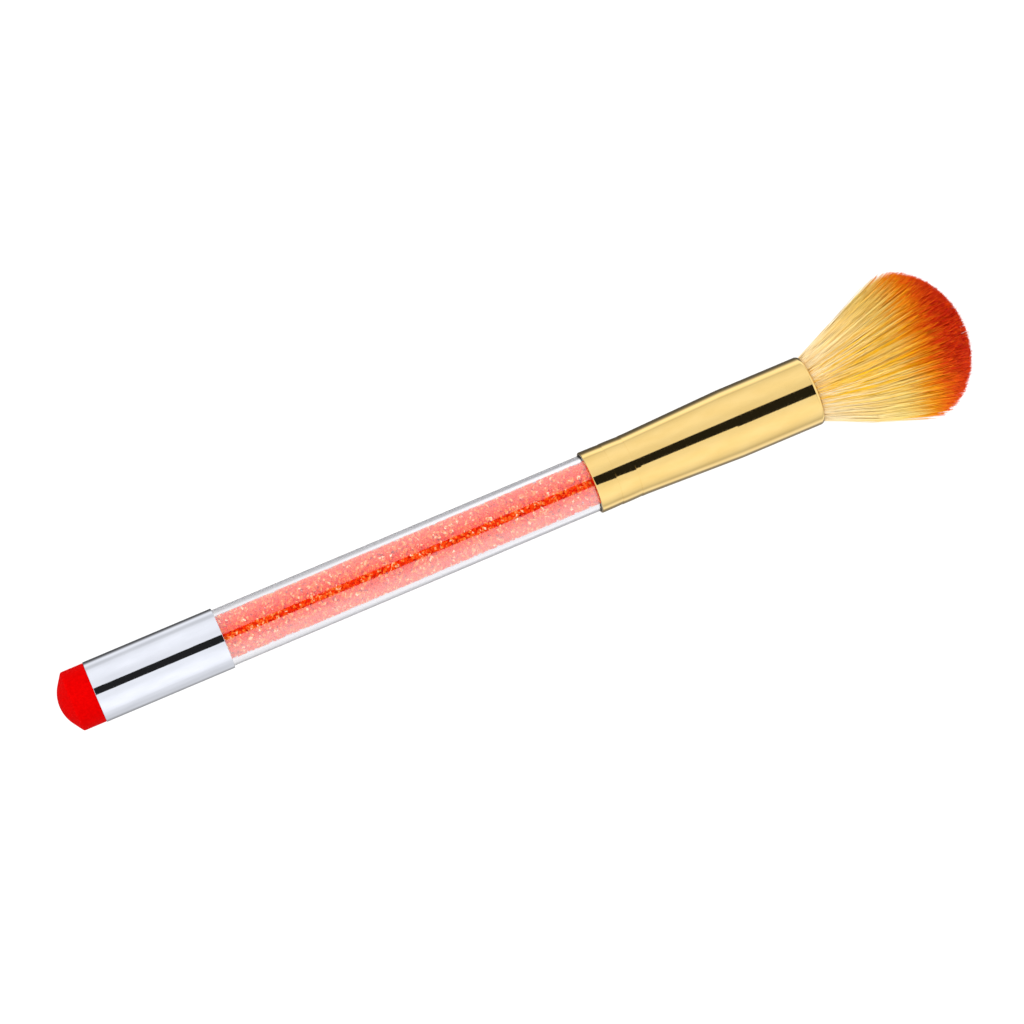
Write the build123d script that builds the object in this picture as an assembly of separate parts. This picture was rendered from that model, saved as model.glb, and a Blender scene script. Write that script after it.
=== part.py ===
from build123d import *
import math
import os
import random

# A nail dust brush with a see-through handle, lying on its side as on a table.
# A fanned tuft of synthetic hair is glued into a gold ferrule. The ferrule is crimped
# on a clear acrylic tube full of loose crystals. A chrome collar and a red plug close
# the tail. Sizes are in millimetres. Each piece is turned about the X axis with the
# tail's tip at x = 0, and the whole brush is laid down at the end.

# End plug, pushed into the tail of the tube
plug_od = 10.38
plug_nose_radius = 4.4          # round middle of the domed end
plug_flank_angle = 28.0         # degrees between the sloping flank and the end plane
plug_edge_bevel = 0.2           # between the flank and the straight skirt
plug_skirt = 4.1                # straight length that shows behind the collar
plug_spigot = 8.0               # length held inside the tube

# Chrome collar, a plain sleeve glued over the tail of the tube
collar_length = 23.0
collar_wall = 0.3
collar_clearance = 0.05         # radial, over the tube
collar_edge_bevel = 0.1

# Clear acrylic tube, the body of the handle
tube_od = 10.0
tube_bore = 7.7
tube_showing = 67.0             # between the collar and the ferrule
tube_in_ferrule = 12.0
tube_end_bevel = 0.2

# Front stopper, which keeps the crystals out of the ferrule
stopper_spigot = 6.0
stopper_flange_thickness = 1.5
stopper_flange_inset = 0.2      # how far the flange stays inside the tube's outside
spigot_clearance = 0.05         # radial, of the plug and the stopper in the tube
spigot_lead_in = 0.5            # bevel on the tips of both spigots

# Loose crystals, pointed at both ends with a square middle
crystal_size = 2.0              # from point to point, the largest
crystal_size_spread = 0.2       # the smallest are this share smaller
crystal_gap = 0.04              # least gap to a neighbour and to the tube

# Gold ferrule, drawn from thin sheet: neck on the tube, taper, mouth round the hair
ferrule_length = 41.0
ferrule_wall = 0.4
ferrule_clearance = 0.2         # radial, over the tube
ferrule_neck = 8.4              # straight length at the tube
ferrule_mouth_od = 12.4
ferrule_mouth = 15.0            # straight length at the hair
ferrule_edge_bevel = 0.15
crimp_count = 2                 # grooves rolled into the neck
crimp_pitch = 3.6               # from the ferrule's end to the first, and to the next
crimp_width = 1.2               # at the top of a groove
crimp_floor = 0.5               # at its bottom
crimp_depth = 0.17

# Hair tuft
strand_count = 450
strand_root_radius = 0.19       # of the circle round a three-sided strand
strand_tip_radius = 0.14
strand_root_depth = 0.3         # how far a strand starts inside the backing
hair_reach = 29.2               # from the ferrule's mouth to the top of the dome
head_radius = 13.4              # at the widest place of the fan
head_shoulder = 19.4            # from the mouth to the widest place
backing_thickness = 1.5         # slice of packed hair just inside the mouth
backing_edge = 0.05             # between the outermost strand and the slice's edge
root_length = 9.0               # roots of the hair, set in resin behind the slice
root_creep = 0.8                # how far the resin creeps back along the wall
hair_clearance = 0.03           # radial, of the slice and the roots in the ferrule

# How the brush lies: on the plug's edge and on the pressed flat of the hair
hair_press = 0.5                # depth of the flat


# Stations along the brush, from the tail's tip
flank = math.radians(plug_flank_angle)
nose_edge = plug_nose_radius * math.sin(flank)
nose_depth = plug_nose_radius * (1 - math.cos(flank))
plug_dome = nose_depth + (plug_od / 2 - nose_edge) * math.tan(flank)
tube_start = plug_dome + plug_skirt
collar_end = tube_start + collar_length
ferrule_start = collar_end + tube_showing
tube_end = ferrule_start + tube_in_ferrule
mouth = ferrule_start + ferrule_length

# Radii that follow from the fits
tube_radius = tube_od / 2
bore_radius = tube_bore / 2
spigot_radius = bore_radius - spigot_clearance
collar_bore_radius = tube_radius + collar_clearance
collar_radius = collar_bore_radius + collar_wall
neck_radius = tube_radius + ferrule_clearance + ferrule_wall
mouth_radius = ferrule_mouth_od / 2
hair_root_radius = mouth_radius - ferrule_wall - hair_clearance


def turned(outline, corners=(), bevel=0):
    """Turn a closed outline in the XY plane about the X axis, with the given corners bevelled."""
    profile = make_face(outline)
    for corner in corners:
        profile = chamfer(profile.vertices().sort_by_distance((*corner, 0))[0], bevel)
    return revolve(profile, Axis.X)


def spigot(seat, tip):
    """Round stem that holds a plug in the tube, bevelled at its tip; it starts at the seat."""
    rim = (tip, spigot_radius)
    outline = Polyline((seat, 0), (seat, spigot_radius), rim, (tip, 0), (seat, 0))
    return turned(outline, [rim], spigot_lead_in)


def end_plug():
    """Domed red plug with a spigot; its shoulder seats on the ends of the tube and the collar."""
    nose_middle = (
        plug_nose_radius * (1 - math.cos(flank / 2)),
        plug_nose_radius * math.sin(flank / 2),
    )
    nose = ThreePointArc((0, 0), nose_middle, (nose_depth, nose_edge))
    edge = (plug_dome, plug_od / 2)
    rest = Polyline(
        (nose_depth, nose_edge),
        edge,
        (tube_start, plug_od / 2),
        (tube_start, 0),
        (0, 0),
    )
    head = turned(nose + rest, [edge], plug_edge_bevel)
    return head + spigot(tube_start, tube_start + plug_spigot)


def tail_collar():
    """Thin chrome sleeve, flush with the tail end of the tube."""
    tail_rim = (tube_start, collar_radius)
    front_rim = (collar_end, collar_radius)
    outline = Polyline(
        (tube_start, collar_bore_radius),
        tail_rim,
        front_rim,
        (collar_end, collar_bore_radius),
        (tube_start, collar_bore_radius),
    )
    return turned(outline, [tail_rim, front_rim], collar_edge_bevel)


def handle_tube():
    """Clear tube that runs from the plug's shoulder to inside the ferrule."""
    tail_rim = (tube_start, tube_radius)
    front_rim = (tube_end, tube_radius)
    outline = Polyline(
        (tube_start, bore_radius),
        tail_rim,
        front_rim,
        (tube_end, bore_radius),
        (tube_start, bore_radius),
    )
    return turned(outline, [tail_rim, front_rim], tube_end_bevel)


def front_stopper():
    """Flanged bung in the front end of the tube."""
    flange_radius = tube_radius - stopper_flange_inset
    flange_end = tube_end + stopper_flange_thickness
    outline = Polyline(
        (tube_end, 0),
        (tube_end, flange_radius),
        (flange_end, flange_radius),
        (flange_end, 0),
        (tube_end, 0),
    )
    return turned(outline) + spigot(tube_end, tube_end - stopper_spigot)


def crystal_rings(pitch):
    """Radius and count of each ring of crystals, from the tube's wall to the middle."""
    rings = []
    radius = bore_radius - crystal_gap - crystal_size / 2
    while radius > 0:
        across = pitch / (2 * radius)
        count = int(math.pi / math.asin(across)) if across < 1 else 1
        rings.append((radius, count))
        radius -= pitch
    return rings


def layer_height(rings, pitch):
    """Least height between two layers that are turned by half a crystal to each other."""
    heights = []
    for radius, count in rings:
        sideways = 2 * radius * math.sin(math.pi / (2 * count))
        heights.append(math.sqrt(max(pitch**2 - sideways**2, 0)))
    return max(heights)


def crystal():
    """One crystal of full size about the origin: eight flat facets that meet in six points."""
    reach = crystal_size / 2
    girdle = [(reach, 0, 0), (0, reach, 0), (-reach, 0, 0), (0, -reach, 0)]
    facets = []
    for side in range(4):
        near, far = girdle[side], girdle[(side + 1) % 4]
        facets.append(Face(Wire.make_polygon([near, far, (0, 0, reach)])))
        facets.append(Face(Wire.make_polygon([far, near, (0, 0, -reach)])))
    return Solid(Shell(facets))


def crystal_filling():
    """Crystals between the plug and the stopper, each turned its own way in its own room."""
    pitch = crystal_size + crystal_gap
    rings = crystal_rings(pitch)
    fill_start = tube_start + plug_spigot + crystal_gap
    fill_end = tube_end - stopper_spigot - crystal_gap
    span = fill_end - fill_start - crystal_size
    layers = int(span / layer_height(rings, pitch)) + 1
    step = span / (layers - 1)
    chance = random.Random(11)
    model = crystal()
    grains = []
    for layer in range(layers):
        along = fill_start + crystal_size / 2 + layer * step
        for radius, count in rings:
            for place in range(count):
                around = 2 * math.pi * (place + layer / 2) / count
                centre = (along, radius * math.cos(around), radius * math.sin(around))
                turn = [chance.uniform(0, 360) for _ in range(3)]
                share = 1 - chance.uniform(0, crystal_size_spread)
                grains.append(Location(centre, turn) * model.scale(share))
    return Compound(grains)


def ferrule_line(depth):
    """Points of the ferrule's wall, depth below its outside, from the tube end to the mouth."""
    radius = neck_radius - depth
    points = [(ferrule_start, radius)]
    for number in range(1, crimp_count + 1):
        middle = ferrule_start + number * crimp_pitch
        points += [
            (middle - crimp_width / 2, radius),
            (middle - crimp_floor / 2, radius - crimp_depth),
            (middle + crimp_floor / 2, radius - crimp_depth),
            (middle + crimp_width / 2, radius),
        ]
    points.append((ferrule_start + ferrule_neck, radius))
    points.append((mouth - ferrule_mouth, mouth_radius - depth))
    points.append((mouth, mouth_radius - depth))
    return points


def ferrule():
    """Thin gold ferrule: a neck with rolled crimps, a slight taper and a straight mouth."""
    outside = ferrule_line(0)
    inside = ferrule_line(ferrule_wall)
    outline = Polyline(*outside, *reversed(inside), outside[0])
    return turned(outline, [outside[0], outside[-1]], ferrule_edge_bevel)


def tuft_root():
    """Roots of the hair, set solid with resin that has crept back along the ferrule's wall."""
    front = mouth - backing_thickness
    back = front - root_length
    outline = Polyline(
        (back, 0),
        (back, hair_root_radius - root_creep),
        (back - root_creep, hair_root_radius),
        (front, hair_root_radius),
        (front, 0),
        (back, 0),
    )
    return turned(outline)


def strand(root, tip, root_radius, tip_radius, turn):
    """Straight three-sided strand between two points, thinner at its tip."""
    corners = []
    for centre, radius in ((root, root_radius), (tip, tip_radius)):
        ring = []
        for side in range(3):
            angle = turn + side * 2 * math.pi / 3
            ring.append(centre + Vector(0, radius * math.cos(angle), radius * math.sin(angle)))
        corners.append(ring)
    low, high = corners
    facets = [Face(Wire.make_polygon(low[::-1])), Face(Wire.make_polygon(high))]
    for side in range(3):
        after = (side + 1) % 3
        facets.append(Face(Wire.make_polygon([low[side], low[after], high[after], high[side]])))
    return Solid(Shell(facets))


def bristles():
    """Fan of strands that ends in a dome, on the slice of packed hair in the mouth."""
    # The dome is the ball through the widest circle of the fan and its foremost point.
    ball_middle = (hair_reach**2 - head_shoulder**2 - head_radius**2) / (2 * (hair_reach - head_shoulder))
    ball_radius = hair_reach - ball_middle
    edge_root = hair_root_radius - strand_root_radius - backing_edge
    edge_slope = (head_radius - strand_tip_radius - edge_root) / head_shoulder
    golden_angle = math.pi * (3 - math.sqrt(5))
    strands = []
    for number in range(strand_count):
        share = math.sqrt((number + 0.5) / strand_count)
        around = number * golden_angle
        outward = Vector(0, math.cos(around), math.sin(around))
        radius = share * edge_root
        slope = share * edge_slope
        # Where the straight strand meets the ball, by the usual root of a square equation
        a = 1 + slope**2
        b = radius * slope - ball_middle
        c = ball_middle**2 + radius**2 - ball_radius**2
        reach = (math.sqrt(b**2 - a * c) - b) / a
        root = Vector(mouth - strand_root_depth, 0, 0) + outward * (radius - slope * strand_root_depth)
        tip = Vector(mouth + reach, 0, 0) + outward * (radius + slope * reach)
        strands.append(strand(root, tip, strand_root_radius, strand_tip_radius, around))
    backing = turned(
        Polyline(
            (mouth - backing_thickness, 0),
            (mouth - backing_thickness, hair_root_radius),
            (mouth, hair_root_radius),
            (mouth, 0),
            (mouth - backing_thickness, 0),
        )
    )
    return backing.fuse(*strands)


def rest_tilt():
    """Angle at which the plug's edge is on the table and the hair is pressed flat on it."""
    along = mouth + head_shoulder - plug_dome
    across = head_radius - plug_od / 2
    return math.atan2(across, along) - math.asin(hair_press / math.hypot(along, across))


pieces = {
    "end_plug": end_plug(),
    "tail_collar": tail_collar(),
    "handle_tube": handle_tube(),
    "crystal_filling": crystal_filling(),
    "front_stopper": front_stopper(),
    "ferrule": ferrule(),
    "tuft_root": tuft_root(),
    "bristles": bristles(),
}

# Lay the brush down with the hair towards +X, and press the hair flat on the table.
tilt = math.degrees(rest_tilt())
raised = Rotation(0, -tilt, 0)
table_height = (raised * pieces["end_plug"]).bounding_box().min.Z
tuft_box = (raised * pieces["bristles"]).bounding_box()
room_above = Pos(tuft_box.center().X, 0, table_height) * Box(
    2 * tuft_box.size.X, 2 * tuft_box.size.Y, 2 * tuft_box.size.Z,
    align=(Align.CENTER, Align.CENTER, Align.MIN),
)
laid = {name: raised * piece for name, piece in pieces.items()}
laid["bristles"] = laid["bristles"] & room_above
middle_along = (laid["end_plug"].bounding_box().min.X + laid["bristles"].bounding_box().max.X) / 2
to_origin = Pos(-middle_along, 0, -table_height)

os.makedirs("parts", exist_ok=True)
for name, piece in laid.items():
    export_step(to_origin * piece, f"parts/{name}.step")

# Where a holder grips the collar and a clip grips the tube
for name, station in (
    ("collar middle", (tube_start + collar_end) / 2),
    ("bare tube middle", (collar_end + ferrule_start) / 2),
):
    place = (to_origin * raised * Pos(station, 0, 0)).position
    print(name, [round(value, 3) for value in place], "radius", collar_radius, tube_radius)
print("tilt", round(tilt, 3), "degrees; whole length", round(mouth + hair_reach, 2))
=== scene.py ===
import math
from functools import partial
import bpy
from mathutils import Matrix, Vector


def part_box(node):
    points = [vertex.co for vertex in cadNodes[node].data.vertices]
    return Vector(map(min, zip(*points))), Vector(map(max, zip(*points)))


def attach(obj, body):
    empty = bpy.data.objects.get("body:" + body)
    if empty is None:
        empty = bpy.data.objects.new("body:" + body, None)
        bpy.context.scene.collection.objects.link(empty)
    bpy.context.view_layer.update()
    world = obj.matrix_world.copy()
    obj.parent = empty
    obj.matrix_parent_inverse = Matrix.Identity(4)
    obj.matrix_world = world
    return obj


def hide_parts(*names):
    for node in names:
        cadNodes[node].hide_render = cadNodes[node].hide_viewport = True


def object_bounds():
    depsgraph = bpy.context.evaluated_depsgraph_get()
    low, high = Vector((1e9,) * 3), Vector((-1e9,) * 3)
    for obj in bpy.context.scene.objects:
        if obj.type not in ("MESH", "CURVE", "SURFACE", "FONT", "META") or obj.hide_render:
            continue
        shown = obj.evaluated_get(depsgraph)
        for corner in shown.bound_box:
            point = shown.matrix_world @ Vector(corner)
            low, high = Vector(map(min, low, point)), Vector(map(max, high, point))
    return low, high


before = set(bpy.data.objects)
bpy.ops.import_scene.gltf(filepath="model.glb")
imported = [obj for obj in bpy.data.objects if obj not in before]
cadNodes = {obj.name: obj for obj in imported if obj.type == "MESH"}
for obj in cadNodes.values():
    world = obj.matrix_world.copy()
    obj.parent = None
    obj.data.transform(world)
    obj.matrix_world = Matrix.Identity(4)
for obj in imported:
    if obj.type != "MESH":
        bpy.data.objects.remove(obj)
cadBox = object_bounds()

# The brush has its own line, read from the frame: s runs in millimetres from the plug's tip
# towards the hair, and every piece is made along it before it is laid down.
mm = 0.001
goldenAngle = math.pi * (3 - math.sqrt(5))


def middleOf(node):
    low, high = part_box(node)
    return (low + high) / 2


collarMiddle = middleOf("tail_collar")
alongBrush = (middleOf("handle_tube") - collarMiddle).normalized()
aboveBrush = alongBrush.cross(Vector((0, 1, 0)))
tilt = math.atan2(alongBrush.z, alongBrush.x)
tailTip = collarMiddle + alongBrush * min(
    (v.co - collarMiddle).dot(alongBrush) for v in cadNodes["end_plug"].data.vertices
)
brushToWorld = (
    Matrix.Translation(tailTip) @ Matrix.Rotation(-tilt, 4, "Y") @ Matrix.Scale(mm, 4)
)


def stretchOf(node):
    # first and last s of a node, and its greatest radius, in millimetres
    toBrush = brushToWorld.inverted()
    points = [toBrush @ v.co for v in cadNodes[node].data.vertices]
    along = [p.x for p in points]
    return min(along), max(along), max(math.hypot(p.y, p.z) for p in points)


_, plugEnd, plugRadius = stretchOf("end_plug")
collarStart, collarEnd, collarRadius = stretchOf("tail_collar")
tubeStart, tubeEnd, tubeRadius = stretchOf("handle_tube")
fillStart, fillEnd, _ = stretchOf("crystal_filling")
ferruleStart, mouth, mouthRadius = stretchOf("ferrule")
_, hairEnd, _ = stretchOf("bristles")
print("frame read: tilt", round(math.degrees(tilt), 3), "mouth at", round(mouth, 2))


def srgb(hexCode):
    # sRGB hex to the linear values that shaders take
    channels = [int(hexCode[i : i + 2], 16) / 255 for i in (0, 2, 4)]
    linear = [c / 12.92 if c <= 0.04045 else ((c + 0.055) / 1.055) ** 2.4 for c in channels]
    return (*linear, 1.0)


def addNode(tree, kind, inputs=None, **settings):
    # one node with its settings, and each input given a value or linked to a node or socket
    node = tree.nodes.new(kind)
    for name, value in settings.items():
        setattr(node, name, value)
    for key, value in (inputs or {}).items():
        # a name can stand for several sockets, of which one is in use
        named = [socket for socket in node.inputs if socket.name == key and socket.enabled]
        socket = named[0] if named else node.inputs[key]
        if isinstance(value, bpy.types.Node):
            # the first output that its settings leave in use
            value = next(output for output in value.outputs if output.enabled)
        if isinstance(value, bpy.types.NodeSocket):
            tree.links.new(value, socket)
        else:
            socket.default_value = value
    return node


def setRamp(ramp, stops):
    # stops are (position, hex colour or plain level)
    elements = ramp.color_ramp.elements
    while len(elements) < len(stops):
        elements.new(1.0)
    for element, (position, colour) in zip(elements, stops):
        element.position = position
        element.color = srgb(colour) if isinstance(colour, str) else (colour, colour, colour, 1.0)


def newMaterial(name):
    # a material, and addNode for its tree
    material = bpy.data.materials.new(name)
    material.use_nodes = True
    material.node_tree.nodes.clear()
    return material, partial(addNode, material.node_tree)


def brushPoint(add):
    # Object coordinates turned to millimetres along the brush
    spot = add("ShaderNodeTexCoord")
    return add(
        "ShaderNodeMapping",
        {
            "Vector": spot.outputs["Object"], "Location": tailTip, "Rotation": (0, -tilt, 0),
            "Scale": (mm, mm, mm),
        },
        vector_type="TEXTURE",
    )


def rounded(corners, steps=5, ringReach=1.3):
    # corners are (s, r, radius of the rounding), and each rounding becomes an arc
    outline = []
    for i, (s, r, size) in enumerate(corners):
        here = Vector((s, r))
        if not size:
            outline.append(here)
            continue
        before = (Vector(corners[i - 1][:2]) - here).normalized()
        after = (Vector(corners[(i + 1) % len(corners)][:2]) - here).normalized()
        half = before.angle(after) / 2
        centre = here + (before + after).normalized() * size / math.sin(half)
        reach = size / math.tan(half)
        first = here + before * reach - centre
        turn = first.angle_signed(here + after * reach - centre)
        # one more ring on each side of the arc keeps the faces beyond it flat
        outline.append(here + before * reach * ringReach)
        for k in range(steps + 1):
            outline.append(centre + Matrix.Rotation(-turn * k / steps, 2) @ first)
        outline.append(here + after * reach * ringReach)
    return outline


def lathe(name, outline, sides, nearLine=1e-6):
    # a closed outline of (s, r) turned about the brush's line, its points on the line shared
    area = sum(a[0] * b[1] - b[0] * a[1] for a, b in zip(outline, outline[1:] + outline[:1]))
    if area < 0:
        outline = outline[::-1]
    verts, rings, faces = [], [], []
    for s, r in outline:
        if r < nearLine:
            rings.append([len(verts)] * sides)
            verts.append((s, 0, 0))
            continue
        rings.append(list(range(len(verts), len(verts) + sides)))
        for k in range(sides):
            angle = 2 * math.pi * k / sides
            verts.append((s, r * math.cos(angle), r * math.sin(angle)))
    for low, high in zip(rings, rings[1:] + rings[:1]):
        for k in range(sides):
            k2 = (k + 1) % sides
            corners = list(dict.fromkeys((low[k], high[k], high[k2], low[k2])))
            if len(corners) > 2:
                faces.append(corners)
    mesh = bpy.data.meshes.new(name)
    mesh.from_pydata(verts, [], faces)
    return finishPiece(name, mesh)


def finishPiece(name, mesh, smooth=True, sharpFrom=40):
    # lays a mesh in millimetres along the brush down in the world
    mesh.transform(brushToWorld)
    mesh.validate()
    mesh.shade_smooth() if smooth else mesh.shade_flat()
    if smooth:
        mesh.set_sharp_from_angle(angle=math.radians(sharpFrom))
    piece = bpy.data.objects.new(name, mesh)
    bpy.context.scene.collection.objects.link(piece)
    return piece


def keepPiece(piece, material, slot, *nodes):
    piece.data.materials.clear()
    piece.data.materials.append(material)
    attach(piece, "root")
    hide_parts(*nodes)


endPlug = {
    "swell": 0.05,
    "noseRadius": 6.2,
    "flankAngle": 34.0,
    "edgeRound": 0.5,
    "backRound": 0.12,
    "spigotRadius": 3.8,
    "spigotLeadIn": 0.5,
    "sides": 128,
    "noseSteps": 12,
}


def makeEndPlug(p):
    rim = plugRadius + p["swell"]
    flank = math.radians(p["flankAngle"])
    noseEdge = p["noseRadius"] * math.sin(flank)
    noseDepth = p["noseRadius"] * (1 - math.cos(flank))
    dome = noseDepth + (rim - noseEdge) * math.tan(flank)
    nose = []
    for k in range(p["noseSteps"]):
        angle = flank * k / p["noseSteps"]
        nose.append((p["noseRadius"] * (1 - math.cos(angle)), p["noseRadius"] * math.sin(angle), 0))
    rest = [
        (noseDepth, noseEdge, 0),
        (dome, rim, p["edgeRound"]),
        (tubeStart, rim, p["backRound"]),
        (tubeStart, p["spigotRadius"], 0),
        (plugEnd, p["spigotRadius"], p["spigotLeadIn"]),
        (plugEnd, 0, 0),
    ]
    return lathe("endPlug", rounded(nose + rest), p["sides"])


def redPolypropylene():
    # Polypropylene moulded against a lightly sparked die: strong flat red, and a soft sheen
    # with a grain too fine to see as more than a haze.
    material, add = newMaterial("mouldedRedPolypropylene")
    spot = brushPoint(add)
    grainMm, cloudMm = 0.12, 0.5
    grain = add("ShaderNodeTexNoise", {"Vector": spot, "Scale": 1 / grainMm, "Detail": 2.0})
    cloud = add("ShaderNodeTexNoise", {"Vector": spot, "Scale": 1 / cloudMm, "Detail": 3.0})
    red = add("ShaderNodeValToRGB", {"Fac": cloud})
    setRamp(red, [(0.3, "be0000"), (0.7, "d00101")])
    gloss = add("ShaderNodeMapRange", {"Value": grain, "To Min": 0.5, "To Max": 0.65})
    bump = add("ShaderNodeBump", {"Height": grain, "Strength": 0.25, "Distance": 0.02 * mm})
    skin = add(
        "ShaderNodeBsdfPrincipled",
        {
            "Base Color": red, "Roughness": gloss, "IOR": 1.49, "Specular IOR Level": 0.01,
            "Normal": bump,
        },
    )
    add("ShaderNodeOutputMaterial", {"Surface": skin})
    return material


plug = makeEndPlug(endPlug)
keepPiece(plug, redPolypropylene(), "red_plastic", "end_plug")
print("end plug made")


tailCollar = {"wall": 0.3, "edgeRound": 0.07, "innerRound": 0.05, "sides": 256}


def makeTailCollar(p):
    bore = collarRadius - p["wall"]
    corners = [
        (collarStart, bore, 0),
        (collarStart, collarRadius, p["edgeRound"]),
        (collarEnd, collarRadius, p["edgeRound"]),
        (collarEnd, bore, p["innerRound"]),
    ]
    return lathe("tailCollar", rounded(corners), p["sides"])


def platedChrome():
    # Decorative chrome on drawn brass: a cool bright mirror, with a slight cloudiness along
    # the draw and hairline rubbing marks that only soften the reflections.
    material, add = newMaterial("brightPlatedChrome")
    spot = brushPoint(add)
    stretched = add("ShaderNodeMapping", {"Vector": spot, "Scale": (0.16, 0.55, 0.55)})
    cloud = add("ShaderNodeTexNoise", {"Vector": stretched, "Scale": 1.0, "Detail": 3.0})
    tint = add("ShaderNodeValToRGB", {"Fac": cloud})
    setRamp(tint, [(0.34, "d3d6df"), (0.66, "dadde6")])
    hairline = add("ShaderNodeMapping", {"Vector": spot, "Scale": (0.5, 14.0, 14.0)})
    rubbing = add("ShaderNodeTexNoise", {"Vector": hairline, "Scale": 1.0, "Detail": 2.0})
    gloss = add(
        "ShaderNodeMapRange",
        {"Value": rubbing, "From Min": 0.35, "From Max": 0.75, "To Min": 0.03, "To Max": 0.09},
    )
    wave = add("ShaderNodeBump", {"Height": cloud, "Strength": 0.2, "Distance": 0.03 * mm})
    skin = add(
        "ShaderNodeBsdfPrincipled",
        {"Base Color": tint, "Metallic": 1.0, "Roughness": gloss, "Normal": wave},
    )
    add("ShaderNodeOutputMaterial", {"Surface": skin})
    return material


collar = makeTailCollar(tailCollar)
keepPiece(collar, platedChrome(), "chrome_sleeve", "tail_collar")
print("collar made")


handleTube = {
    "bore": 3.93,
    "endRound": 0.2,
    "dimFrom": 0.5,
    "dimTo": 0.1,
    "sides": 192,
    # painted reflection: strength of the outside's veil by place across the tube, in millimetres
    # from the back to the front
    "paintedVeil": [
        (-4.2, 0.7), (-3.4, 0.87), (-3.05, 0.94), (-2.55, 0.89), (-2.05, 0.78), (-1.5, 0.6),
        (-1.0, 0.57), (-0.6, 0.37), (0.75, 0.18), (0.95, 0.22), (1.3, 0.29), (1.8, 0.42),
        (2.35, 0.49), (2.85, 0.58), (3.4, 0.65), (4.2, 0.58),
    ],
}


def makeHandleTube(p):
    corners = [
        (tubeStart, p["bore"], 0),
        (tubeStart, tubeRadius, p["endRound"]),
        (tubeEnd, tubeRadius, p["endRound"]),
        (tubeEnd, p["bore"], 0),
    ]
    return lathe("handleTube", rounded(corners), p["sides"])


def clearAcrylic():
    # Extruded acrylic: water-clear with a high polish. Its outside mirrors the lamps as a pale veil
    # over the filling, a painted reflection whose strength is set by place across the tube, and
    # lamps reach the crystals through it.
    material, add = newMaterial("clearExtrudedAcrylic")
    spot = brushPoint(add)
    rippleMm = 0.5
    ripple = add("ShaderNodeTexNoise", {"Vector": spot, "Scale": 1 / rippleMm, "Detail": 1.0})
    wobble = add("ShaderNodeBump", {"Height": ripple, "Strength": 1.0, "Distance": 0.004 * mm})
    # the painted veil is on the outside alone
    across = add("ShaderNodeVectorMath", {0: spot, 1: (0, 1, 1)}, operation="MULTIPLY")
    fromLine = add("ShaderNodeVectorMath", {0: across}, operation="LENGTH")
    halfway = (handleTube["bore"] + tubeRadius) / 2
    outside = add("ShaderNodeMath", {0: fromLine, 1: halfway}, operation="GREATER_THAN")
    alongTube, sideways, _ = add("ShaderNodeSeparateXYZ", {0: spot}).outputs
    place = add(
        "ShaderNodeMapRange", {"Value": sideways, "From Min": -tubeRadius, "From Max": tubeRadius}
    )
    paintedVeilBySide = add("ShaderNodeValToRGB", {"Fac": place})
    setRamp(paintedVeilBySide, [((y / tubeRadius + 1) / 2, strength) for y, strength in handleTube["paintedVeil"]])
    # painted shade: the veil fades over the last half millimetre of the tube before the ferrule, as
    # if its edge kept the lamps off there
    clearOfPaintedShade = add(
        "ShaderNodeMapRange",
        {
            "Value": alongTube, "From Min": ferruleStart - handleTube["dimFrom"],
            "From Max": ferruleStart - handleTube["dimTo"], "To Min": 1.0, "To Max": 0.0,
        },
    )
    lit = add("ShaderNodeMath", {0: outside, 1: clearOfPaintedShade}, operation="MULTIPLY")
    paintedVeil = add("ShaderNodeMath", {0: lit, 1: paintedVeilBySide}, operation="MULTIPLY")
    glass = add(
        "ShaderNodeBsdfPrincipled",
        {
            "Base Color": srgb("faf9ff"), "Roughness": 0.0, "IOR": 1.49, "Transmission Weight": 1.0,
            "Coat Weight": paintedVeil, "Coat Roughness": 0.02, "Coat IOR": 2.6, "Coat Normal": wobble,
        },
    )
    through = add("ShaderNodeBsdfTransparent", {"Color": srgb("ffffff")})
    path = add("ShaderNodeLightPath").outputs
    both = add("ShaderNodeMixShader", {0: path["Is Shadow Ray"], 1: glass, 2: through})
    add("ShaderNodeOutputMaterial", {"Surface": both})
    return material


tube = makeHandleTube(handleTube)
keepPiece(tube, clearAcrylic(), "clear_acrylic", "handle_tube")
print("tube made")


crystalFilling = {
    "Count": 9600,
    "Crystal size": 0.86,
    "Size spread": 0.35,
    "Hollow share": 0.76,
    "Roughening": 0.22,
    "Facet share": 0.55,
    "Pressed share": 0.35,
    "Seed": 7,
}
boreGap = 0.02  # room between the crystals and the bore, in millimetres


def newGeometryTree(name, sizes):
    # a modifier tree with one named input for each size, addNode for it, and those inputs
    tree = bpy.data.node_groups.new(name, "GeometryNodeTree")
    tree.interface.new_socket("Geometry", in_out="OUTPUT", socket_type="NodeSocketGeometry")
    for label, value in sizes.items():
        kind = "NodeSocketInt" if isinstance(value, int) else "NodeSocketFloat"
        tree.interface.new_socket(label, in_out="INPUT", socket_type=kind)
    add = partial(addNode, tree)
    return tree, add, add("NodeGroupInput").outputs


def spokeAt(add, angle):
    # for an arrow of length one, turned by an angle round the brush's line: its reach across,
    # and the arrow
    across = add("ShaderNodeMath", {0: angle}, operation="COSINE")
    above = add("ShaderNodeMath", {0: angle}, operation="SINE")
    return across, add("ShaderNodeCombineXYZ", {"Y": across, "Z": above})


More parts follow.
